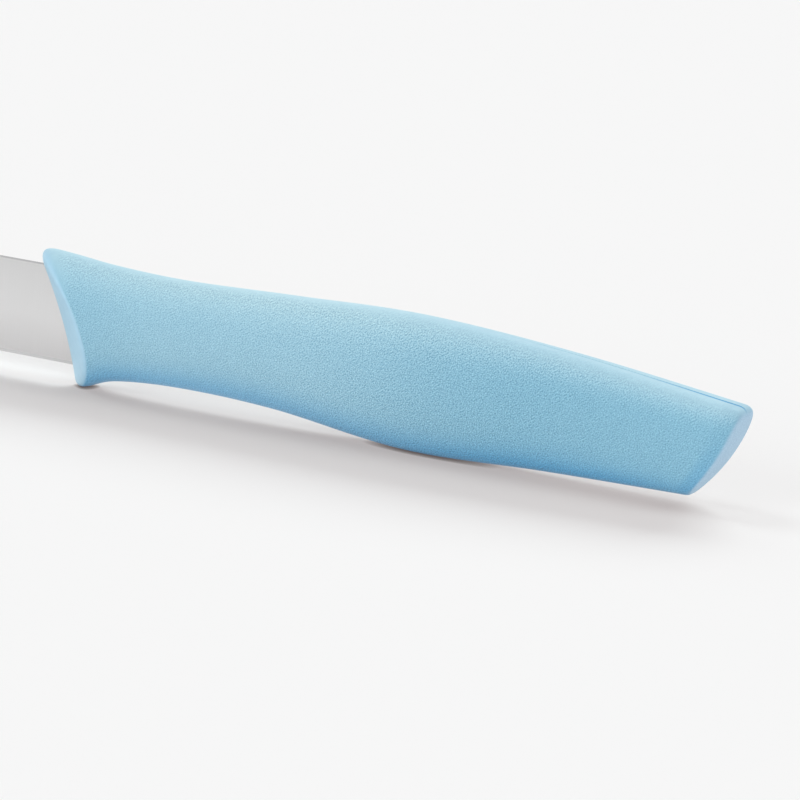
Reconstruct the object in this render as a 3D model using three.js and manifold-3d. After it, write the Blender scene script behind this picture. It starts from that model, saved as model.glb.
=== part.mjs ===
import * as THREE from "three";
import { mergeVertices } from "three/addons/utils/BufferGeometryUtils.js";
import Module from "manifold-3d";

// A paring knife: a stamped steel blade whose hidden tang is moulded into a one-piece plastic handle.
// Millimetres, +Z up. The knife stands on its guard and its belly, spine up, with the tip towards -X.
// X is measured from the foot of the guard and Z from the surface that the knife stands on.

// Blade
const BLADE_LENGTH = 85; // nose of the handle to the tip, along the spine
const BLADE_HEIGHT = 15; // spine to edge
const BLADE_THICKNESS = 1.5; // at the spine
const EDGE_HEIGHT = 3; // edge above the surface that the knife stands on
const EDGE_THICKNESS = 0.4; // behind the honed bevel
const BEVEL_HEIGHT = 0.5; // honed bevel
const TIP_RISE = 3; // tip above the line of the straight edge
const TIP_FLAT = 0.3; // blunt end of the tip
const TIP_THINNING = 0.12; // ground off each side between the nose and the tip
const SPINE_CURVE_LENGTH = 40; // stretch before the tip where the spine curves down
const EDGE_CURVE_LENGTH = 28; // stretch before the tip where the edge curves up
const CURVE_STEPS = 28;
const FLAT_START = 2; // facets of the flats end this far in front of the nose

// Tang
const HEEL_END = 3; // end of the full-height blade inside the handle
const TANG_LENGTH = 74; // behind the heel
const TANG_HEIGHT = 9; // at the heel
const TANG_TAIL_HEIGHT = 6; // at the rounded tail
const TANG_AXIS_HEIGHT = 10.8; // middle line of the tang
const HEEL_OVERLAP = 2; // stretch of tang that runs into the heel
const KEY_HOLE_DIAMETER = 4.5; // holes in the tang that the handle's keys fill
const KEY_HOLE_DISTANCES = [16, 50]; // behind the heel
const KEY_ROOT = 0.75; // stretch of each key inside the walls of the socket
const MOULD_GAP = 0.2; // between the steel and the plastic round it

// Handle sections from front to back: where the section starts on the spine line and ends on the belly line,
// as [x, z], its half thickness, and the fullness of its upper and lower half, where 2 is an ellipse.
const SECTIONS = {
  nose: { spine: [-12, 21], belly: [-3.5, -0.4], half: 6.6, upper: 2.0, lower: 3.2 },
  guard: { spine: [-4, 20.4], belly: [0.5, 0.1], half: 6.2, upper: 2.0, lower: 2.9 },
  finger_rest: { spine: [4, 19.7], belly: [6, 1.9], half: 5.8, upper: 2.0, lower: 2.6 },
  waist: { spine: [16, 19.4], belly: [17, 2.7], half: 5.6, upper: 2.1, lower: 2.3 },
  swell: { spine: [34, 20.1], belly: [33, 2.3], half: 6.2, upper: 2.1, lower: 2.3 },
  belly: { spine: [55, 20.7], belly: [55, 0.1], half: 6.9, upper: 2.2, lower: 2.5 },
  taper: { spine: [80, 18.9], belly: [78, 1.1], half: 6.4, upper: 2.7, lower: 3.0 },
  butt: { spine: [110, 15.2], belly: [103, 1.9], half: 6.0, upper: 3.2, lower: 3.6 },
};

// Nose: a bowed line on the middle plane from the foot to the top, swept back to a bevel on each side
const NOSE_FOOT_AT = -1.45;
const NOSE_TOP_AT = -10.2;
const NOSE_HEIGHT = 20;
const NOSE_BOW = 0.85; // middle of the line behind the straight one
const NOSE_DEPTH = { foot: 6.8, top: 5.5 }; // sweep back at NOSE_HALF_WIDTH from the middle plane
const NOSE_HALF_WIDTH = 6.5;
const NOSE_POWER = 1.35; // 1 is a straight bevel, 2 a round bow
const NOSE_ROUND = { top: 3.6, side: 0.5, foot: 1.2 }; // rounding of the rim

// Butt: an arc in side view, slightly crowned across
const BUTT_REACH = 106.6; // rearmost point of the arc
const BUTT_RADIUS = 26.8;
const BUTT_CENTRE_HEIGHT = 19.8;
const BUTT_CROWN = 0.4; // fall of the crown at BUTT_HALF_WIDTH from the middle plane
const BUTT_HALF_WIDTH = 6.5;
const BUTT_ROUND = { top: 1.8, side: 0.9, foot: 0.3 };
const ROUND_FADE = 4; // power that fades the side's rounding into the top's and the foot's

// Facets and steps
const COLUMNS = 48; // round the handle
const SIDE_ROWS = 56; // along its side
const RIM_ROWS = 4; // over each rounded rim
const END_ROWS = 4; // from a rim to the middle of its end
const ROUND_FACETS = 24; // holes, keys and the tail of the tang
const MEETING_STEPS = 40; // halvings to find a rim
const SMALL_STEP = 1e-3; // share of the handle that measures its pace along the side
const MERGE_DISTANCE = 1e-4;

// Derived places
const tipX = NOSE_TOP_AT - BLADE_LENGTH;
const spineHeight = EDGE_HEIGHT + BLADE_HEIGHT;
const shoulderHeight = EDGE_HEIGHT + BEVEL_HEIGHT;
const keyPlaces = KEY_HOLE_DISTANCES.map((distance) => HEEL_END + distance);

const steel = new THREE.MeshStandardMaterial({ color: "#d2d2d2", roughness: 0.38, metalness: 1 });
const bluePlastic = new THREE.MeshStandardMaterial({ color: "#8cbdd3", roughness: 0.55, metalness: 0 });

const wasm = await Module();
wasm.setup();

// Closed surface through rows of points. Each row is a ring, and the first and last rings shrink to a point.
function ringSurface(rows) {
  const width = rows[0].length;
  const positions = rows.flat().flatMap((point) => [point.x, point.y, point.z]);
  const triangles = [];
  for (let row = 0; row + 1 < rows.length; row += 1) {
    for (let column = 0; column < width; column += 1) {
      const next = (column + 1) % width;
      const a = row * width + column;
      const b = row * width + next;
      const c = a + width;
      const d = b + width;
      triangles.push(a, b, d, a, d, c);
    }
  }
  const geometry = new THREE.BufferGeometry();
  geometry.setAttribute("position", new THREE.Float32BufferAttribute(positions, 3));
  geometry.setIndex(triangles);
  return geometry;
}

// Solid of a closed surface, without the triangles that have no area
function solidOf(geometry) {
  const bare = geometry.clone();
  bare.deleteAttribute("normal");
  bare.deleteAttribute("uv");
  const merged = mergeVertices(bare, MERGE_DISTANCE);
  const index = merged.getIndex().array;
  const triangles = [];
  for (let i = 0; i < index.length; i += 3) {
    const [a, b, c] = [index[i], index[i + 1], index[i + 2]];
    if (a !== b && b !== c && c !== a) {
      triangles.push(a, b, c);
    }
  }
  const vertProperties = new Float32Array(merged.getAttribute("position").array);
  const triVerts = new Uint32Array(triangles);
  return new wasm.Manifold(new wasm.Mesh({ numProp: 3, vertProperties, triVerts }));
}

function geometryOf(solid) {
  const mesh = solid.getMesh();
  const geometry = new THREE.BufferGeometry();
  geometry.setAttribute("position", new THREE.BufferAttribute(mesh.vertProperties, 3));
  geometry.setIndex(new THREE.BufferAttribute(mesh.triVerts, 1));
  geometry.computeVertexNormals();
  return geometry;
}

// Share of a curved stretch of the given length that is left behind at x, counted towards the tip
function curveShare(x, length) {
  return THREE.MathUtils.clamp((tipX + length - x) / length, 0, 1);
}

// Half thickness of the flat-ground blade: a plane that falls from the spine to the edge and towards the tip
function grindHalf(x, z) {
  const slope = (BLADE_THICKNESS - EDGE_THICKNESS) / 2 / (spineHeight - shoulderHeight);
  const thinning = TIP_THINNING * Math.max(0, (NOSE_TOP_AT - x) / BLADE_LENGTH);
  return EDGE_THICKNESS / 2 + slope * (z - shoulderHeight) - thinning;
}

// Ring of the blade's section at x, grown by a clearance: spine, bevel shoulders and edge
function bladeRing(x, grow) {
  const spineFall = BLADE_HEIGHT - TIP_RISE - TIP_FLAT;
  const spine = spineHeight - spineFall * curveShare(x, SPINE_CURVE_LENGTH) ** 2;
  const edge = EDGE_HEIGHT + TIP_RISE * curveShare(x, EDGE_CURVE_LENGTH) ** 2;
  const shoulder = edge + Math.min(BEVEL_HEIGHT, (spine - edge) / 2);
  const spineHalf = grindHalf(x, spine) + grow;
  const shoulderHalf = grindHalf(x, shoulder) + grow;
  return [
    new THREE.Vector3(x, 0, edge - grow),
    new THREE.Vector3(x, shoulderHalf, shoulder),
    new THREE.Vector3(x, spineHalf, spine + grow),
    new THREE.Vector3(x, -spineHalf, spine + grow),
    new THREE.Vector3(x, -shoulderHalf, shoulder),
  ];
}

function middleOf(ring) {
  const middle = new THREE.Vector3();
  ring.forEach((point) => middle.addScaledVector(point, 1 / ring.length));
  return ring.map(() => middle);
}

// The flat-ground blade from the tip to the heel inside the handle
function bladeSolid(grow) {
  const straightEnd = tipX + Math.max(SPINE_CURVE_LENGTH, EDGE_CURVE_LENGTH);
  const places = [];
  for (let step = 0; step <= CURVE_STEPS; step += 1) {
    places.push(THREE.MathUtils.lerp(tipX, straightEnd, step / CURVE_STEPS));
  }
  places.push(NOSE_TOP_AT - FLAT_START, HEEL_END + grow);
  const rings = places.map((x) => bladeRing(x, grow));
  return solidOf(ringSurface([middleOf(rings[0]), ...rings, middleOf(rings.at(-1))]));
}

// The tang: a plate with a rounded tail, with or without the key holes
function tangSolid(grow, holes) {
  const root = TANG_HEIGHT / 2 + grow;
  const tail = TANG_TAIL_HEIGHT / 2 + grow;
  const start = HEEL_END - HEEL_OVERLAP;
  const tailCentre = HEEL_END + TANG_LENGTH - TANG_TAIL_HEIGHT / 2;
  const outline = new THREE.Shape();
  outline.moveTo(start, TANG_AXIS_HEIGHT - root);
  outline.lineTo(tailCentre, TANG_AXIS_HEIGHT - tail);
  outline.absarc(tailCentre, TANG_AXIS_HEIGHT, tail, -Math.PI / 2, Math.PI / 2, false);
  outline.lineTo(start, TANG_AXIS_HEIGHT + root);
  outline.closePath();
  if (holes) {
    keyPlaces.forEach((x) => {
      const hole = new THREE.Path();
      hole.absarc(x, TANG_AXIS_HEIGHT, KEY_HOLE_DIAMETER / 2, 0, 2 * Math.PI, true);
      outline.holes.push(hole);
    });
  }
  const depth = BLADE_THICKNESS + 2 * grow;
  const options = { depth, bevelEnabled: false, curveSegments: ROUND_FACETS };
  const plate = new THREE.ExtrudeGeometry(outline, options);
  plate.rotateX(Math.PI / 2);
  plate.translate(0, depth / 2, 0);
  return solidOf(plate);
}

// Smooth lines through the handle's sections
const sections = Object.values(SECTIONS);
const smoothLine = (points) => new THREE.CatmullRomCurve3(points, false, "catmullrom", 0.5);
const spineLine = smoothLine(sections.map(({ spine }) => new THREE.Vector3(spine[0], 0, spine[1])));
const bellyLine = smoothLine(sections.map(({ belly }) => new THREE.Vector3(belly[0], 0, belly[1])));
const girthLine = smoothLine(sections.map(({ half, upper, lower }) => new THREE.Vector3(half, upper, lower)));

// Point of the handle's side at u along it and at an angle round it: two superellipse halves in polar form
function sidePoint(u, angle) {
  const girth = girthLine.getPoint(u);
  const up = Math.cos(angle);
  const out = Math.sin(angle);
  const power = up > 0 ? girth.y : girth.z;
  const reach = (Math.abs(out) ** power + Math.abs(up) ** power) ** (-1 / power);
  const point = bellyLine.getPoint(u).lerp(spineLine.getPoint(u), (1 + reach * up) / 2);
  point.y = girth.x * reach * out;
  return point;
}

function noseX(y, z) {
  const share = z / NOSE_HEIGHT;
  const line = THREE.MathUtils.lerp(NOSE_FOOT_AT, NOSE_TOP_AT, share) + 4 * NOSE_BOW * share * (1 - share);
  const depth = THREE.MathUtils.lerp(NOSE_DEPTH.foot, NOSE_DEPTH.top, share);
  return line + depth * (Math.abs(y) / NOSE_HALF_WIDTH) ** NOSE_POWER;
}

function buttX(y, z) {
  const arc = Math.sqrt(BUTT_RADIUS ** 2 - (z - BUTT_CENTRE_HEIGHT) ** 2);
  return BUTT_REACH - BUTT_RADIUS + arc - BUTT_CROWN * (y / BUTT_HALF_WIDTH) ** 2;
}

// Place along the handle where the side meets an end surface at an angle
function meetingPlace(angle, endX) {
  let before = 0;
  let after = 1;
  for (let step = 0; step < MEETING_STEPS; step += 1) {
    const middle = (before + after) / 2;
    const point = sidePoint(middle, angle);
    if (point.x > endX(point.y, point.z)) {
      after = middle;
    } else {
      before = middle;
    }
  }
  return (before + after) / 2;
}

// Rows from the rounded rim over an end surface to its middle, and where the rounding starts on the side
function endRows(angles, endX, round, inward) {
  const places = angles.map((angle) => meetingPlace(angle, endX));
  const rims = angles.map((angle, column) => sidePoint(places[column], angle));
  const heights = rims.map((rim) => rim.z);
  const middleZ = (Math.min(...heights) + Math.max(...heights)) / 2;
  const starts = [];
  const columns = angles.map((angle, column) => {
    const rim = rims[column];
    const up = Math.cos(angle);
    const radius = THREE.MathUtils.lerp(round.side, up > 0 ? round.top : round.foot, up ** ROUND_FADE);
    const beside = sidePoint(places[column] + inward * SMALL_STEP, angle);
    const start = places[column] + (inward * SMALL_STEP * radius) / beside.distanceTo(rim);
    starts.push(start);
    const onEnd = (share) => {
      const y = rim.y * (1 - share);
      const z = THREE.MathUtils.lerp(rim.z, middleZ, share);
      return new THREE.Vector3(endX(y, z), y, z);
    };
    const inner = radius / Math.hypot(rim.y, rim.z - middleZ);
    const rounding = new THREE.QuadraticBezierCurve3(sidePoint(start, angle), rim, onEnd(inner));
    const points = rounding.getPoints(RIM_ROWS);
    for (let row = 1; row <= END_ROWS; row += 1) {
      points.push(onEnd(THREE.MathUtils.lerp(inner, 1, row / END_ROWS)));
    }
    return points;
  });
  const rows = columns[0].map((_, row) => columns.map((column) => column[row]));
  return { rows, starts };
}

// The outside of the handle, without its socket
function handleSolid() {
  const angles = Array.from({ length: COLUMNS }, (_, column) => (-2 * Math.PI * column) / COLUMNS);
  const front = endRows(angles, noseX, NOSE_ROUND, 1);
  const back = endRows(angles, buttX, BUTT_ROUND, -1);
  const side = [];
  for (let row = 1; row < SIDE_ROWS; row += 1) {
    side.push(angles.map((angle, column) => {
      const u = THREE.MathUtils.lerp(front.starts[column], back.starts[column], row / SIDE_ROWS);
      return sidePoint(u, angle);
    }));
  }
  return solidOf(ringSurface([...front.rows.reverse(), ...side, ...back.rows]));
}

// Keys of plastic that run through the tang's holes from one wall of the socket to the other
function keySolid(x) {
  const radius = KEY_HOLE_DIAMETER / 2 - MOULD_GAP;
  const length = BLADE_THICKNESS + 2 * (MOULD_GAP + KEY_ROOT);
  const key = new THREE.CylinderGeometry(radius, radius, length, ROUND_FACETS);
  key.translate(x, 0, TANG_AXIS_HEIGHT);
  return solidOf(key);
}

const bladeBlank = bladeSolid(0).add(tangSolid(0, true));
const socket = bladeSolid(MOULD_GAP).add(tangSolid(MOULD_GAP, false));
const handleMoulding = keyPlaces.reduce((body, x) => body.add(keySolid(x)), handleSolid().subtract(socket));

const blade = new THREE.Mesh(geometryOf(bladeBlank), steel);
blade.name = "blade";
const handle = new THREE.Mesh(geometryOf(handleMoulding), bluePlastic);
handle.name = "handle";

// The origin lies on the surface that the knife stands on, under the middle of its length
const knife = new THREE.Group();
knife.add(blade, handle);
const box = new THREE.Box3().setFromObject(knife);
knife.position.set(-(box.min.x + box.max.x) / 2, 0, -box.min.z);

export default knife;
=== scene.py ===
"""A paring knife: a satin steel blade in a contoured plastic handle with a fine moulded grain."""
import math

import bpy
import numpy as np
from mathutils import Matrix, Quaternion, Vector


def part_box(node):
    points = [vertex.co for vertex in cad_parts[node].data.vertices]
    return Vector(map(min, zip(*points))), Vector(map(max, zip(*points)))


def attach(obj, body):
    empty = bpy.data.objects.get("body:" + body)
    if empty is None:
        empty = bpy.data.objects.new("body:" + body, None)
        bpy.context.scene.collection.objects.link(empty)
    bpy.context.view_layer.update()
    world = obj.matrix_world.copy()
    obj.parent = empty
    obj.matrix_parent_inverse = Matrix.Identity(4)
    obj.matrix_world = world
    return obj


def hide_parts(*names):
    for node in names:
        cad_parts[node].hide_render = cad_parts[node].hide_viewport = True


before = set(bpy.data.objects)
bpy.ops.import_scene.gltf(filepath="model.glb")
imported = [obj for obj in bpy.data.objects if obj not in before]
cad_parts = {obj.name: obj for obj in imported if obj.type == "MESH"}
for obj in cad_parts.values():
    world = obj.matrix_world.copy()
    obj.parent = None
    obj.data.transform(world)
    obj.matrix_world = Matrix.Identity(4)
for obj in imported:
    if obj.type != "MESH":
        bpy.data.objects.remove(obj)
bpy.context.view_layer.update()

MM = 0.001

# Lengths are in millimetres, x from the guard's foot towards the butt, z from the ground.
BLADE_LENGTH = 85.0
EDGE_HEIGHT = 3.0
BLADE_HEIGHT = 15.0

# Sections of the handle: spine x and z, belly x and z, half width, upper power, lower power
SECTIONS = {
    "nose": (-12.0, 21.0, -3.5, -0.4, 6.6, 2.0, 3.2),
    "guard": (-4.0, 20.4, 0.5, 0.1, 6.2, 2.0, 2.9),
    "finger_rest": (4.0, 19.7, 6.0, 1.9, 5.8, 2.0, 2.6),
    "waist": (16.0, 19.4, 17.0, 2.7, 5.6, 2.1, 2.3),
    "swell": (34.0, 20.1, 33.0, 2.3, 6.2, 2.1, 2.3),
    "belly": (55.0, 20.7, 55.0, 0.1, 6.9, 2.2, 2.5),
    "taper": (80.0, 18.9, 78.0, 1.1, 6.4, 2.7, 3.0),
    "butt": (110.0, 15.2, 103.0, 1.9, 6.0, 3.2, 3.6),
}
NOSE_FOOT_AT = -1.45
NOSE_TOP_AT = -10.2
NOSE_HEIGHT = 20.0
NOSE_BOW = 0.85
NOSE_DEPTH = {"foot": 6.8, "top": 5.5}
NOSE_HALF_WIDTH = 6.5
NOSE_POWER = 1.35
NOSE_ROUND = {"top": 3.6, "side": 0.5, "foot": 1.2}
BUTT_REACH = 106.6
BUTT_RADIUS = 26.8
BUTT_CENTRE_HEIGHT = 19.8
BUTT_CROWN = 0.4
BUTT_HALF_WIDTH = 6.5
BUTT_ROUND = {"top": 1.8, "side": 0.9, "foot": 0.3}
ROUND_FADE = 4

# The parting rib of the mould: its half width, its wall, the relief beside it and its depth
RIB_HALF = 0.2
RIB_WALL = 0.12
RIB_RELIEF = 2.2
RIB_DEPTH = 0.11

# Columns of the handle's surface, as angles beside the parting rib and a number for the side, and its rows
SEAM_COLUMNS = (0.0, 0.018, 0.03, 0.036, 0.042, 0.048, 0.056, 0.07, 0.095, 0.13, 0.17, 0.21, 0.26)
SIDE_COLUMNS = 78
SIDE_ROWS = 330
RIM_ROWS = 9
END_ROWS = 14

# Halvings to find where surfaces meet, a small share of the handle's length, and a normal's least length
MEETING_STEPS = 40
SMALL_STEP = 1e-3
LEAST_LENGTH = 1e-12

# Runs of rows that a feature covers, from nose to butt. A pair gives the shares of a stretch's rows between
# which it comes in, or goes out where the second is the smaller.
RIB_RUN = {"side": (0.72, 0.95), "butt_rim": (1.0, 0.5)}
BEHIND_NOSE_RUN = {"nose_rim": (0.5, 1.0), "side": 1.0, "butt_rim": 1.0, "butt": 1.0}
GRAIN_RUN = {"nose_rim": (0.5, 1.0), "side": 1.0, "butt_rim": (0.8, 0.0)}
BUTT_RUN = {"butt_rim": (0.3, 0.85), "butt": 1.0}
BUTT_EDGE_RUN = {"side": (0.988, 1.0), "butt_rim": (0.75, 0.25)}

# The grain. It starts behind a smooth lip at the nose's rim, which widens towards the top. It comes in as
# the surface turns to face sideways, later on the top of the rear, and it is strongest at the belly.
LIP_OVERLAP = -0.6
LIP_WIDTH = 2.5
LIP_HEIGHTS = (13.5, 18.5)
GRAIN_TURN = (0.15, 0.6)
REAR_TOP_GRAIN_TURN = (0.28, 0.86)
REAR_TOP_FROM = (20.0, 60.0)
FAINT_TOP_GRAIN = 0.2
FAINT_GRAIN_TURN = (0.1, 0.3)
GRAIN_STRENGTH = {"front": 0.8, "belly": 1.16, "butt": 0.86}
GRAIN_GROWS = (15.0, 60.0)
GRAIN_WANES = (65.0, 100.0)

# Where the blues change: places along the knife, heights and distances from the middle plane, and turns,
# which are the share of the outward direction that points up or down. They place painted light and shade: a
# paler top, and darker blues on the underside, the rear, the guard, in the groove beside the rib and at the
# butt's edge.
REAR_FROM = (35.0, 75.0)
GUARD_UNTIL = (16.0, 0.0)
GUARD_BLUE = 0.45
TOP_TURN = (0.12, 1.0)
UNDER_TURN = {"front": 0.099, "rear": -0.045, "full": 0.9}
UNDER_GROWS = (60.0, 80.0)
BUTT_FOOT_FROM = (85.0, 103.0)
BUTT_FOOT_FADE = 0.45
GROOVE_INNER = (0.1, 0.25)
GROOVE_OUTER = (0.6, 0.35)
GROOVE_FROM = (86.0, 102.0)
GROOVE_BLUE = 0.8
BUTT_EDGE_HEIGHTS = (13.0, 5.0)
BUTT_EDGE_BLUE = 0.3
BUTT_EDGE_SHADE = 0.25

blade_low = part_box("blade")[0]
GUARD_FOOT = np.array([blade_low.x / MM + BLADE_LENGTH - NOSE_TOP_AT, 0.0, blade_low.z / MM - EDGE_HEIGHT])


def blend(first, last, share):
    """The value a share of the way from first to last."""
    return first + (last - first) * share


def eased(value, low, high):
    """0 up to low, 1 past high, and in between a cubic that is level at both ends. It falls from 1 to 0
    where high is the smaller."""
    share = np.clip((value - low) / (high - low), 0, 1)
    return share * share * (3 - 2 * share)


def flowing_line(stations, share):
    """A cubic line through the stations, which lie at equal steps of share from 0 to 1. Its slope at each
    one is half the way from the station before to the one after, where the station past each end mirrors
    the one next to the end."""
    ends = 2 * stations[0] - stations[1], 2 * stations[-1] - stations[-2]
    held = np.vstack([ends[0], stations, ends[1]])
    place = np.clip(share, 0, 1) * (len(stations) - 1)
    index = np.minimum(place.astype(int), len(stations) - 2)
    t = (place - index)[..., None]
    a, b, c, d = (held[index + step] for step in range(4))
    return 0.5 * (2 * b + (c - a) * t + (2 * a - 5 * b + 4 * c - d) * t**2 + (3 * b - a - 3 * c + d) * t**3)


def handle_side(share, angle):
    """The handle's side at a share of its length and an angle from the spine. The section lies about the
    chord from the belly point to the spine point. It is a superellipse, upper power above and lower power
    below, taken in polar form: its reach is (|sin|^p + |cos|^p)^(-1/p)."""
    line = flowing_line(np.array(list(SECTIONS.values())), share)
    spine_x, spine_z, belly_x, belly_z, half, upper, lower = np.moveaxis(line, -1, 0)
    power = np.where(np.cos(angle) > 0, upper, lower)
    reach = (np.abs(np.sin(angle)) ** power + np.abs(np.cos(angle)) ** power) ** (-1 / power)
    rise = (1 + reach * np.cos(angle)) / 2
    across = half * reach * np.sin(angle)
    return np.stack([blend(belly_x, spine_x, rise), across, blend(belly_z, spine_z, rise)], -1)


def nose_x(y, z):
    """The nose: a line that leans forward to the top and bows back, swept back on each side by a power of
    the distance from the middle plane, less at the top than at the foot."""
    share = z / NOSE_HEIGHT
    line = blend(NOSE_FOOT_AT, NOSE_TOP_AT, share) + 4 * NOSE_BOW * share * (1 - share)
    depth = blend(NOSE_DEPTH["foot"], NOSE_DEPTH["top"], share)
    return line + depth * (np.abs(y) / NOSE_HALF_WIDTH) ** NOSE_POWER


def butt_x(y, z):
    """The butt: an arc about a centre near the spine's height, crowned a little across its width."""
    arc = np.sqrt(BUTT_RADIUS**2 - (z - BUTT_CENTRE_HEIGHT) ** 2)
    return BUTT_REACH - BUTT_RADIUS + arc - BUTT_CROWN * (y / BUTT_HALF_WIDTH) ** 2


def meeting_share(end_x, angle):
    """The share of the length at which the side meets an end surface at each angle, by halving."""
    before, after = np.zeros_like(angle), np.ones_like(angle)
    for _ in range(MEETING_STEPS):
        middle = (before + after) / 2
        point = handle_side(middle, angle)
        beyond = point[:, 0] > end_x(point[:, 1], point[:, 2])
        before, after = np.where(beyond, before, middle), np.where(beyond, middle, after)
    return (before + after) / 2


def handle_end(end_x, rounding, inward, angle):
    """Rows from the side over a rounded rim to the middle of an end, and where the rounding starts. The rim
    is a quadratic curve: (1 - t)^2 of its start on the side, 2t(1 - t) of the corner where side and end
    meet, and t^2 of its finish on the end. The rows past it lie on the end surface and run straight to the
    middle as seen along the knife."""
    share = meeting_share(end_x, angle)
    corner = handle_side(share, angle)
    middle_z = (corner[:, 2].min() + corner[:, 2].max()) / 2
    tip_round = np.where(np.cos(angle) > 0, rounding["top"], rounding["foot"])
    radius = blend(rounding["side"], tip_round, np.cos(angle) ** ROUND_FADE)
    beside = handle_side(share + inward * SMALL_STEP, angle)
    start = share + inward * SMALL_STEP * radius / np.linalg.norm(beside - corner, axis=-1)

    def on_end(part):
        """Points of the end surface a part of the way from the corner to the middle."""
        y = corner[:, 1] * (1 - part)
        z = blend(corner[:, 2], middle_z, part)
        return np.stack([end_x(y, z), y, z], -1)

    inner = radius / np.hypot(corner[:, 1], corner[:, 2] - middle_z)
    t = np.linspace(0, 1, RIM_ROWS + 1)[:, None, None]
    rim = (1 - t) ** 2 * handle_side(start, angle) + 2 * t * (1 - t) * corner + t**2 * on_end(inner)
    inwards = np.linspace(0, 1, END_ROWS + 1)[1:-1]
    face = np.stack([on_end(blend(inner, 1.0, part)) for part in inwards])
    middle = np.array([end_x(0.0, middle_z), 0.0, middle_z])
    return rim, face, middle, start


def handle_angles():
    """Angles from the spine round the section: close together at the parting rib on spine and belly."""
    seam = np.array(SEAM_COLUMNS)
    side = np.linspace(seam[-1], math.pi - seam[-1], SIDE_COLUMNS)[1:-1]
    half = np.concatenate([seam, side, math.pi - seam[::-1]])
    return np.concatenate([half, 2 * math.pi - half[-2:0:-1]])


def handle_rings():
    """The handle's rings from nose to butt without the parting rib, how many rows each stretch of them has,
    and the middle points of the two ends. The side's rows lie at equal shares from rounding to rounding."""
    angle = handle_angles()
    nose_rim, nose_face, nose_middle, nose_start = handle_end(nose_x, NOSE_ROUND, 1, angle)
    butt_rim, butt_face, butt_middle, butt_start = handle_end(butt_x, BUTT_ROUND, -1, angle)
    steps = np.linspace(0, 1, SIDE_ROWS + 1)[1:-1, None]
    shares = blend(nose_start, butt_start, steps)
    stretches = {
        "nose": nose_face[::-1],
        "nose_rim": nose_rim[::-1],
        "side": handle_side(shares, np.broadcast_to(angle, shares.shape)),
        "butt_rim": butt_rim,
        "butt": butt_face,
    }
    rows = {stretch: len(part) for stretch, part in stretches.items()}
    return np.concatenate(list(stretches.values())), rows, nose_middle, butt_middle


def along_rows(rows, run):
    """A column with one value for each row: 0 on a stretch that the run leaves out, the run's own number on
    one that it covers, and eased between two shares of the stretch where it gives a pair."""
    def on_stretch(count, span):
        """The values of one stretch."""
        return np.full(count, span) if np.isscalar(span) else eased(np.linspace(0, 1, count), *span)

    values = [on_stretch(count, run.get(stretch, 0.0)) for stretch, count in rows.items()]
    return np.concatenate(values)[:, None]


def outward_normals(grid):
    """Unit normals of a closed ring grid, from the cross product of its two central differences."""
    along = np.gradient(grid, axis=0)
    around = np.roll(grid, -1, 1) - np.roll(grid, 1, 1)
    normal = np.cross(along, around)
    return normal / np.maximum(np.linalg.norm(normal, axis=-1, keepdims=True), LEAST_LENGTH)


def with_parting_rib(rings, rows):
    """The rings with the parting rib. Beside the middle plane the surface sinks by the rib's depth, eased
    in over the rib's wall and out over the relief, so the rib stands at the form's own height."""
    off_plane = np.abs(rings[..., 1])
    wall_foot = RIB_HALF + RIB_WALL
    beside = eased(off_plane, RIB_HALF, wall_foot) * eased(off_plane, RIB_RELIEF, wall_foot)
    sink = RIB_DEPTH * along_rows(rows, RIB_RUN) * beside
    return rings - outward_normals(rings) * sink[..., None]


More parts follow.
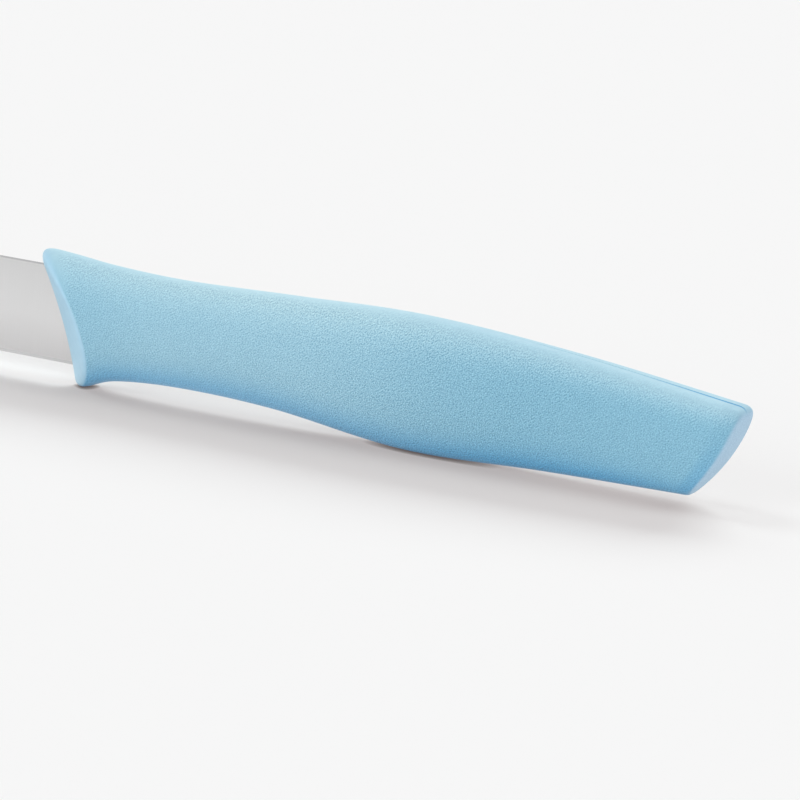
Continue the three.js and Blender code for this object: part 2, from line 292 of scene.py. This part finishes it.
def handle_finish(rings, grid, rows):
    """Masks of the handle's finishes, each a product of eased steps along the knife, up it and round it.
    The grain lies on the sides and fades where they turn parallel to the pull of the mould. The masks of
    the rear, the top, the underside, the groove and the rim place painted light and shade: a paler top as a
    painted highlight, and painted shade on the underside, the rear and the guard, in the groove beside the
    rib and at the butt's edge."""
    normal = outward_normals(rings)
    sideways, upward = np.abs(normal[..., 1]), normal[..., 2]
    off_plane = np.abs(rings[..., 1])
    along, height = grid[..., 0], grid[..., 2]

    lip_at = grid[rows["nose"] + rows["nose_rim"] - 1, :, 0]
    behind_lip = eased(along - lip_at, LIP_OVERLAP, LIP_WIDTH * eased(height, *LIP_HEIGHTS))
    to_rear = eased(along, *REAR_TOP_FROM)
    top_from, top_full = (blend(*turns, to_rear) for turns in zip(GRAIN_TURN, REAR_TOP_GRAIN_TURN))
    faint = eased(sideways, *FAINT_GRAIN_TURN)
    on_top = blend(eased(sideways, top_from, top_full), faint, FAINT_TOP_GRAIN)
    facing = np.where(upward > 0, on_top, eased(sideways, *GRAIN_TURN))
    grown = blend(GRAIN_STRENGTH["front"], GRAIN_STRENGTH["belly"], eased(along, *GRAIN_GROWS))
    strength = blend(grown, GRAIN_STRENGTH["butt"], eased(along, *GRAIN_WANES))
    grain_run = along_rows(rows, GRAIN_RUN)

    under_from = blend(UNDER_TURN["front"], UNDER_TURN["rear"], eased(along, *UNDER_GROWS))
    under = eased(-upward, under_from, UNDER_TURN["full"])
    # Painted shade in the groove beside the rib and along the butt's edge.
    groove = along_rows(rows, RIB_RUN) * eased(off_plane, *GROOVE_INNER) * eased(off_plane, *GROOVE_OUTER)
    painted_groove_shade = GROOVE_BLUE * groove * grain_run * eased(along, *GROOVE_FROM)
    butt_edge = along_rows(rows, BUTT_EDGE_RUN)
    painted_edge_shade = BUTT_EDGE_BLUE * butt_edge * eased(height, *BUTT_EDGE_HEIGHTS)
    return {
        "grain": grain_run * behind_lip * facing * strength,
        "side": along_rows(rows, BEHIND_NOSE_RUN),
        "butt": along_rows(rows, BUTT_RUN),
        # The rear's and the guard's darker blues are painted shade.
        "rear": np.maximum(eased(along, *REAR_FROM), GUARD_BLUE * eased(along, *GUARD_UNTIL)),
        "top": eased(upward, *TOP_TURN),
        "under": under * (1 - BUTT_FOOT_FADE * eased(along, *BUTT_FOOT_FROM)),
        "groove": np.maximum(painted_groove_shade, painted_edge_shade),
        "rim": BUTT_EDGE_SHADE * butt_edge,
    }


def add_object(name, data):
    """A new object of the scene, at the origin."""
    made = bpy.data.objects.new(name, data)
    bpy.context.scene.collection.objects.link(made)
    return made


def ring_mesh(name, grid, first_middle, last_middle, masks):
    """A closed mesh of quads between rings and their next columns, with a fan of triangles at each end, and
    with the masks as attributes of its points."""
    rows, columns = grid.shape[:2]
    points = np.concatenate([grid.reshape(-1, 3), [first_middle, last_middle]])
    points = (points + GUARD_FOOT) * MM
    index = np.arange(rows * columns).reshape(rows, columns)
    after = np.roll(index, -1, 1)
    quads = np.stack([index[:-1], index[1:], after[1:], after[:-1]], -1).reshape(-1, 4)
    fan = np.full(columns, rows * columns)
    first_fan = np.stack([fan, index[0], after[0]], -1)
    last_fan = np.stack([fan + 1, after[-1], index[-1]], -1)
    mesh = bpy.data.meshes.new(name)
    mesh.from_pydata(points.tolist(), [], quads.tolist() + first_fan.tolist() + last_fan.tolist())
    mesh.polygons.foreach_set("use_smooth", np.ones(len(mesh.polygons), bool))
    for label, mask in masks.items():
        values = np.broadcast_to(mask, (rows, columns))
        held = np.concatenate([values.ravel(), values[0, :1], values[-1, :1]])
        layer = mesh.attributes.new(label, "FLOAT", "POINT")
        layer.data.foreach_set("value", held.astype(np.float32))
    mesh.update()
    return add_object(name, mesh)


class Value:
    """An output socket of a node tree. Arithmetic on it adds Math nodes to the tree."""

    def __init__(self, tree, socket=None):
        self.tree = tree
        self.socket = socket

    def node(self, kind, settings=None, sockets=None, output=0):
        """Adds a node of a type, sets its settings, then its sockets to values or links, and gives one of
        its outputs."""
        made = self.tree.nodes.new(kind)
        for label, setting in (settings or {}).items():
            if label == "stops":
                self.set_stops(made.color_ramp, setting)
            else:
                setattr(made, label, setting)
        for label, value in (sockets or {}).items():
            if isinstance(value, Value):
                self.tree.links.new(value.socket, made.inputs[label])
            else:
                made.inputs[label].default_value = value
        return Value(self.tree, made.outputs[output] if made.outputs else None)

    @staticmethod
    def set_stops(ramp, stops):
        """Sets a ramp's stops, each a place and a colour."""
        while len(ramp.elements) < len(stops):
            ramp.elements.new(1.0)
        for element, (place, colour) in zip(ramp.elements, stops):
            element.position = place
            element.color = colour

    def maths(self, operation, *values):
        """The result of a Math operation on values or numbers."""
        return self.node("ShaderNodeMath", {"operation": operation}, dict(enumerate(values)))

    def __add__(self, other):
        return self.maths("ADD", self, other)

    def __sub__(self, other):
        return self.maths("SUBTRACT", self, other)

    def __mul__(self, other):
        return self.maths("MULTIPLY", self, other)

    def __rsub__(self, other):
        return self.maths("SUBTRACT", other, self)

    __radd__ = __add__
    __rmul__ = __mul__


# The Mix node's sockets for colours, and the mean of noise
MIX_SHARE, MIX_FIRST, MIX_LAST, MIX_RESULT = 0, 6, 7, 2
NOISE_MEAN = 0.5


def mixed(share, first, last, **settings):
    """The colour a share of the way from first to last."""
    sockets = {MIX_SHARE: share, MIX_FIRST: first, MIX_LAST: last}
    return share.node("ShaderNodeMix", {"data_type": "RGBA", **settings}, sockets, MIX_RESULT)


def shaded(share, colour, shade):
    """A colour multiplied by a share of a shade. A share below 0 lightens it."""
    return mixed(share, colour, shade, blend_type="MULTIPLY", clamp_factor=False)


def noise(place, scale, detail, roughness=0.5, dimensions="3D"):
    """Noise with so many lumps to a metre, and so many octaves finer than that."""
    return place.node("ShaderNodeTexNoise", {"noise_dimensions": dimensions}, {
        "Vector": place, "Scale": scale, "Detail": detail, "Roughness": roughness})


def new_material(name, constants, varying):
    """A Principled material: constants set on its sockets, and the values that vary linked to theirs."""
    material = bpy.data.materials.new(name)
    material.use_nodes = True
    tree = material.node_tree
    shader = tree.nodes["Principled BSDF"]
    for label, value in constants.items():
        shader.inputs[label].default_value = value
    for label, value in varying(Value(tree)).items():
        tree.links.new(value.socket, shader.inputs[label])
    return material


# Blues of the handle's side, of its top and of its underside, at the front and at the thick rear. They are
# lit and shaded copies of one blue: the paler top is a painted highlight, and the deeper underside and the
# darker rear are painted shade.
FRONT_BLUES = {
    "side": (0.308, 0.565, 0.71, 1.0),
    "top": (0.458, 0.724, 0.835, 1.0),
    "under": (0.178, 0.509, 0.8, 1.0),
}
REAR_BLUES = {
    "side": (0.218, 0.482, 0.644, 1.0),
    "top": (0.41, 0.68, 0.815, 1.0),
    "under": (0.078, 0.39, 0.694, 1.0),
}
# The nose's and the butt's paler blues are painted sheen; the nose is smooth and the butt speckled.
NOSE_SHEEN_BLUE = (0.417, 0.687, 0.864, 1.0)
BUTT_SHEEN_LILAC = (0.418, 0.623, 0.798, 1.0)
HOLLOW_SHADE = (0.55, 0.68, 0.76, 1.0)

# The plastic's grain and its coarser mottle and clouds, in lumps to a metre, and how much each one shows.
# The grain is flat noise turned to face sideways. Its flanks compare it with the noise a little beside it,
# which paints a highlight on one flank of each pebble and shade on the other; its hollows get painted
# shade.
GRAIN_SCALE = 4600.0
GRAIN_FACING = (math.pi / 2, 0.0, 0.6)
FLANK_OFFSET = (0.03 * MM, 0.15 * MM, 0.0)
FLANK_SHARE = 0.25
GRAIN_HEIGHT = 0.1
GRAIN_SHADE = 2.5
SPECKLE_SHADE = 1.2
MOTTLE_SCALE = 900.0
MOTTLE_SHADE = 0.35
CLOUD_SCALE = 60.0
CLOUD_SHADE = 0.2
PLASTIC_GLOSS = 1.0
PLASTIC_ROUGHNESS = {"smooth": 0.42, "grain": 0.08, "butt": 0.4, "clouds": 0.06}


def grained_plastic(start):
    """Blue plastic with a fine spark-eroded grain. The side's blue is mixed to a paler top, a painted
    highlight, and to a deeper underside, painted shade, at the front and at the rear, which is darker with
    painted shade, and in the groove beside the rib to painted shade. Then it is mixed to a smooth nose and
    a speckled lilac butt, whose paler blues are painted sheen. Pebbles of noise raise the grain. A hollow
    gets painted shade by what its noise lacks of the mean, which is moved a share towards the noise beside
    it, so each pebble has a painted lit flank and a painted shaded flank. Mottle and clouds vary the blue
    at random, and the butt's edge gets painted shade."""
    place = start.node("ShaderNodeTexCoord", output="Object")

    def mask(label):
        """A mask of the handle's surface."""
        return start.node("ShaderNodeAttribute", {"attribute_name": label}, output="Fac")

    grain, on_butt, top, under = mask("grain"), mask("butt"), mask("top"), mask("under")
    # The top's paler blue is a painted highlight; the deeper blues of the underside, the rear and the
    # groove are painted shade.
    front, rear = (mixed(under, mixed(top, blues["side"], blues["top"]), blues["under"])
                   for blues in (FRONT_BLUES, REAR_BLUES))
    moulded = mixed(mask("groove"), mixed(mask("rear"), front, rear), REAR_BLUES["under"])
    plain = mixed(on_butt, mixed(mask("side"), NOSE_SHEEN_BLUE, moulded), BUTT_SHEEN_LILAC)

    flat = start.node("ShaderNodeMapping", sockets={"Vector": place, "Rotation": GRAIN_FACING})
    beside = start.node("ShaderNodeMapping", sockets={
        "Vector": place, "Rotation": GRAIN_FACING, "Location": FLANK_OFFSET})
    pebbles, flanks = (noise(vector, GRAIN_SCALE, detail=0.0, dimensions="2D") for vector in (flat, beside))
    speckle = noise(place, GRAIN_SCALE, detail=0.0)
    mottle = noise(place, MOTTLE_SCALE, detail=1.0) - NOISE_MEAN
    clouds = noise(place, CLOUD_SCALE, detail=2.0) - NOISE_MEAN

    # Painted shade in the grain's hollows, and a painted lit and shaded flank on each pebble.
    painted_pebble_shade = (blend(NOISE_MEAN, flanks, FLANK_SHARE) - pebbles) * grain * GRAIN_SHADE
    speckles = (NOISE_MEAN - speckle) * on_butt * SPECKLE_SHADE
    # Painted shade of the grain and of the butt's edge, with random speckle, mottle and clouds.
    shade = painted_pebble_shade + speckles + mottle * MOTTLE_SHADE + clouds * CLOUD_SHADE + mask("rim")
    rough = PLASTIC_ROUGHNESS
    return {
        "Base Color": shaded(shade, plain, HOLLOW_SHADE),
        "Roughness": rough["smooth"] + grain * rough["grain"] + on_butt * rough["butt"]
        + clouds * rough["clouds"],
        "Normal": start.node("ShaderNodeBump", sockets={
            "Strength": 1.0, "Distance": GRAIN_HEIGHT * MM, "Height": pebbles * grain}, output="Normal"),
    }


# Greys of the steel: its flats from the edge up, lighter low and darker towards the spine as a painted
# sheen, where they are worn, the darker spine, and the honed bevel, darker with painted shade
FLAT_GREYS_WITH_PAINTED_SHEEN = ((0.0, (0.8, 0.8, 0.8, 1.0)), (0.45, (0.8, 0.8, 0.8, 1.0)), (1.0, (0.69, 0.69, 0.69, 1.0)))
WORN_GREY = (0.93, 0.93, 0.93, 1.0)
DARK_SPINE_GREY = (0.5, 0.5, 0.505, 1.0)
# The bevel's darker grey is painted shade.
BEVEL_SHADE_GREY = (0.69, 0.69, 0.69, 1.0)
SPINE_TURN = 0.5
BEVEL_TURN = -0.2

# The lines of the grinding, in lumps to a metre along, through and up the blade, and how much they show
GROUND_SCALE = (9000.0, 500.0, 120.0)
GROUND_ROUGHNESS = 0.6
GROUND_HEIGHT = 0.004
GROUND_SHADE = 0.6
WORN_SCALE = 45.0
WORN_SHADE = 0.8
STEEL_ROUGHNESS = {"flat": 0.34, "spine": 0.22, "lines": 0.12, "worn": 0.08}


def satin_steel(start):
    """Satin steel, ground across the blade: noise drawn out from spine to edge in fine lines. The spine and
    the honed bevel are told from the flats by how far their normals turn up and down. The spine is a darker
    grey, the bevel is darker with painted shade, and the flats are lighter low and darker towards the spine
    with a painted sheen."""
    place = start.node("ShaderNodeTexCoord", output="Object")
    facing = start.node("ShaderNodeNewGeometry", output="True Normal")
    turn = start.node("ShaderNodeSeparateXYZ", sockets={"Vector": facing}, output="Z")
    spine = turn.maths("GREATER_THAN", turn, SPINE_TURN)
    bevel = turn.maths("LESS_THAN", turn, BEVEL_TURN)
    drawn = start.node("ShaderNodeMapping", sockets={"Vector": place, "Scale": GROUND_SCALE})
    ground = noise(drawn, 1.0, detail=2.0, roughness=GROUND_ROUGHNESS)
    lines = ground - NOISE_MEAN
    worn = noise(place, WORN_SCALE, detail=2.0) - NOISE_MEAN

    height = start.node("ShaderNodeSeparateXYZ", sockets={"Vector": place}, output="Z")
    risen = (height - blade_low.z) * (1 / (BLADE_HEIGHT * MM))
    # The flats' greys by height are a painted sheen.
    grey = start.node("ShaderNodeValToRGB", {"stops": FLAT_GREYS_WITH_PAINTED_SHEEN}, {"Fac": risen}, output="Color")
    flat = shaded(lines * GROUND_SHADE + worn * WORN_SHADE, grey, WORN_GREY)
    rough = STEEL_ROUGHNESS
    return {
        "Base Color": mixed(spine, mixed(bevel, flat, BEVEL_SHADE_GREY), DARK_SPINE_GREY),
        "Roughness": rough["flat"] + spine * rough["spine"] + lines * rough["lines"] + worn * rough["worn"],
        "Normal": start.node("ShaderNodeBump", sockets={
            "Strength": 1.0, "Distance": GROUND_HEIGHT * MM, "Height": ground}, output="Normal"),
    }


# The handle, whose blue isn't thrown on the floor, and the blade
rings, rows, nose_middle, butt_middle = handle_rings()
grid = with_parting_rib(rings, rows)
handle = ring_mesh("moulded_handle", grid, nose_middle, butt_middle, handle_finish(rings, grid, rows))
plastic = new_material("grained_plastic", {"Specular IOR Level": PLASTIC_GLOSS}, grained_plastic)
handle.data.materials.append(plastic)
handle.visible_diffuse = False
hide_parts("handle")
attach(handle, "root")

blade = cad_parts["blade"]
steel = new_material("satin_steel", {"Metallic": 1.0}, satin_steel)
blade.data.materials.clear()
blade.data.materials.append(steel)

# The camera, at the photographed angle, in degrees and millimetres
CAMERA_AZIMUTH = 20.0
CAMERA_ELEVATION = 11.0
CAMERA_ROLL = 6.82
CAMERA_DISTANCE = 462.05
CAMERA_LENS = 137.92
CAMERA_SENSOR = 36.0
CAMERA_AIM = np.array([52.61, -0.03, 7.25])
NEAREST_SEEN = 10.0


def from_angles(azimuth, elevation):
    """The unit vector towards an azimuth, from -Y towards +X, and an elevation, both in degrees."""
    turn, rise = math.radians(azimuth), math.radians(elevation)
    level = math.cos(rise)
    return Vector((math.sin(turn) * level, -math.cos(turn) * level, math.sin(rise)))


lens = bpy.data.cameras.new("camera")
lens.lens = CAMERA_LENS
lens.sensor_width = CAMERA_SENSOR
lens.clip_start = NEAREST_SEEN * MM
camera = add_object("camera", lens)
towards_camera = from_angles(CAMERA_AZIMUTH, CAMERA_ELEVATION)
roll = Quaternion((0, 0, 1), math.radians(CAMERA_ROLL))
camera.location = Vector((CAMERA_AIM + GUARD_FOOT) * MM) + towards_camera * CAMERA_DISTANCE * MM
camera.rotation_mode = "QUATERNION"
camera.rotation_quaternion = towards_camera.to_track_quat("Z", "Y") @ roll
bpy.context.scene.camera = camera

# The floor, with a shade in the narrow gap where the knife rests on it
FLOOR_WHITE = 0.93
FLOOR_REACH = 4000.0
FLOOR_CORNERS = np.array([[-1.0, -1.0, 0.0], [1.0, -1.0, 0.0], [1.0, 1.0, 0.0], [-1.0, 1.0, 0.0]])
CONTACT_GAP = 0.7
CONTACT_SHADE = (0.24, 0.212, 0.212, 1.0)


def floor_white(start):
    """White all over, but shaded where the gap under a resting foot is too narrow for light to get in."""
    lit = start.node("ShaderNodeAmbientOcclusion", sockets={"Distance": CONTACT_GAP * MM}, output="AO")
    return {"Base Color": mixed(lit, CONTACT_SHADE, (FLOOR_WHITE, FLOOR_WHITE, FLOOR_WHITE, 1.0))}


floor_mesh = bpy.data.meshes.new("floor")
floor_mesh.from_pydata((FLOOR_CORNERS * FLOOR_REACH * MM).tolist(), [], [(0, 1, 2, 3)])
matt_white = new_material("floor_white", {"Roughness": 1.0, "Specular IOR Level": 0.0}, floor_white)
floor_mesh.materials.append(matt_white)
floor = add_object("floor", floor_mesh)

# The light: the shares of the floor's light that come from the sky and from each lamp add up to 1. The sky
# is warm and the lamps are cooler by as much, so the open floor stays white and the shadows are warm.
SKY_SHARE = 0.383
SKY_TINT = np.array([1.08, 0.96, 0.96])
LAMP_TINT = (1 - SKY_SHARE * SKY_TINT) / (1 - SKY_SHARE)
LAMP_SPREAD = 30.0
LAMPS = {
    "back_softbox": {"azimuth": 180.0, "elevation": 32.0, "share": 0.247},
    "left_back_softbox": {"azimuth": -150.0, "elevation": 32.0, "share": 0.048},
    "high_left_softbox": {"azimuth": -90.0, "elevation": 52.0, "share": 0.101},
    "high_right_back_softbox": {"azimuth": 120.0, "elevation": 52.0, "share": 0.097},
    "low_left_front_softbox": {"azimuth": -30.0, "elevation": 15.0, "share": 0.067},
    "low_right_front_softbox": {"azimuth": 30.0, "elevation": 15.0, "share": 0.057},
}

for label, lamp in LAMPS.items():
    light = bpy.data.lights.new(label, "SUN")
    light.angle = math.radians(LAMP_SPREAD)
    light.color = LAMP_TINT
    light.energy = math.pi * lamp["share"] / math.sin(math.radians(lamp["elevation"]))
    softbox = add_object(label, light)
    softbox.visible_glossy = False
    softbox.rotation_mode = "QUATERNION"
    softbox.rotation_quaternion = from_angles(lamp["azimuth"], lamp["elevation"]).to_track_quat("Z", "Y")

# The sky's light, and the white that is seen past the floor, in the steel and through anything clear
world = bpy.data.worlds.new("studio")
world.use_nodes = True
bpy.context.scene.world = world
world.node_tree.nodes.clear()
sky = Value(world.node_tree)
seen, mirrored, through = (sky.node("ShaderNodeLightPath", output=f"Is {kind} Ray")
                           for kind in ("Camera", "Glossy", "Transmission"))
shown = seen.maths("MAXIMUM", seen.maths("MAXIMUM", seen, mirrored), through)
sky_light = sky.node("ShaderNodeBackground", sockets={"Color": (*SKY_TINT, 1.0), "Strength": SKY_SHARE})
backdrop = sky.node("ShaderNodeBackground", sockets={"Color": (1, 1, 1, 1), "Strength": FLOOR_WHITE})
studio = sky.node("ShaderNodeMixShader", sockets={0: shown, 1: sky_light, 2: backdrop})
sky.node("ShaderNodeOutputWorld", sockets={"Surface": studio})

bpy.context.scene.view_settings.view_transform = "Standard"
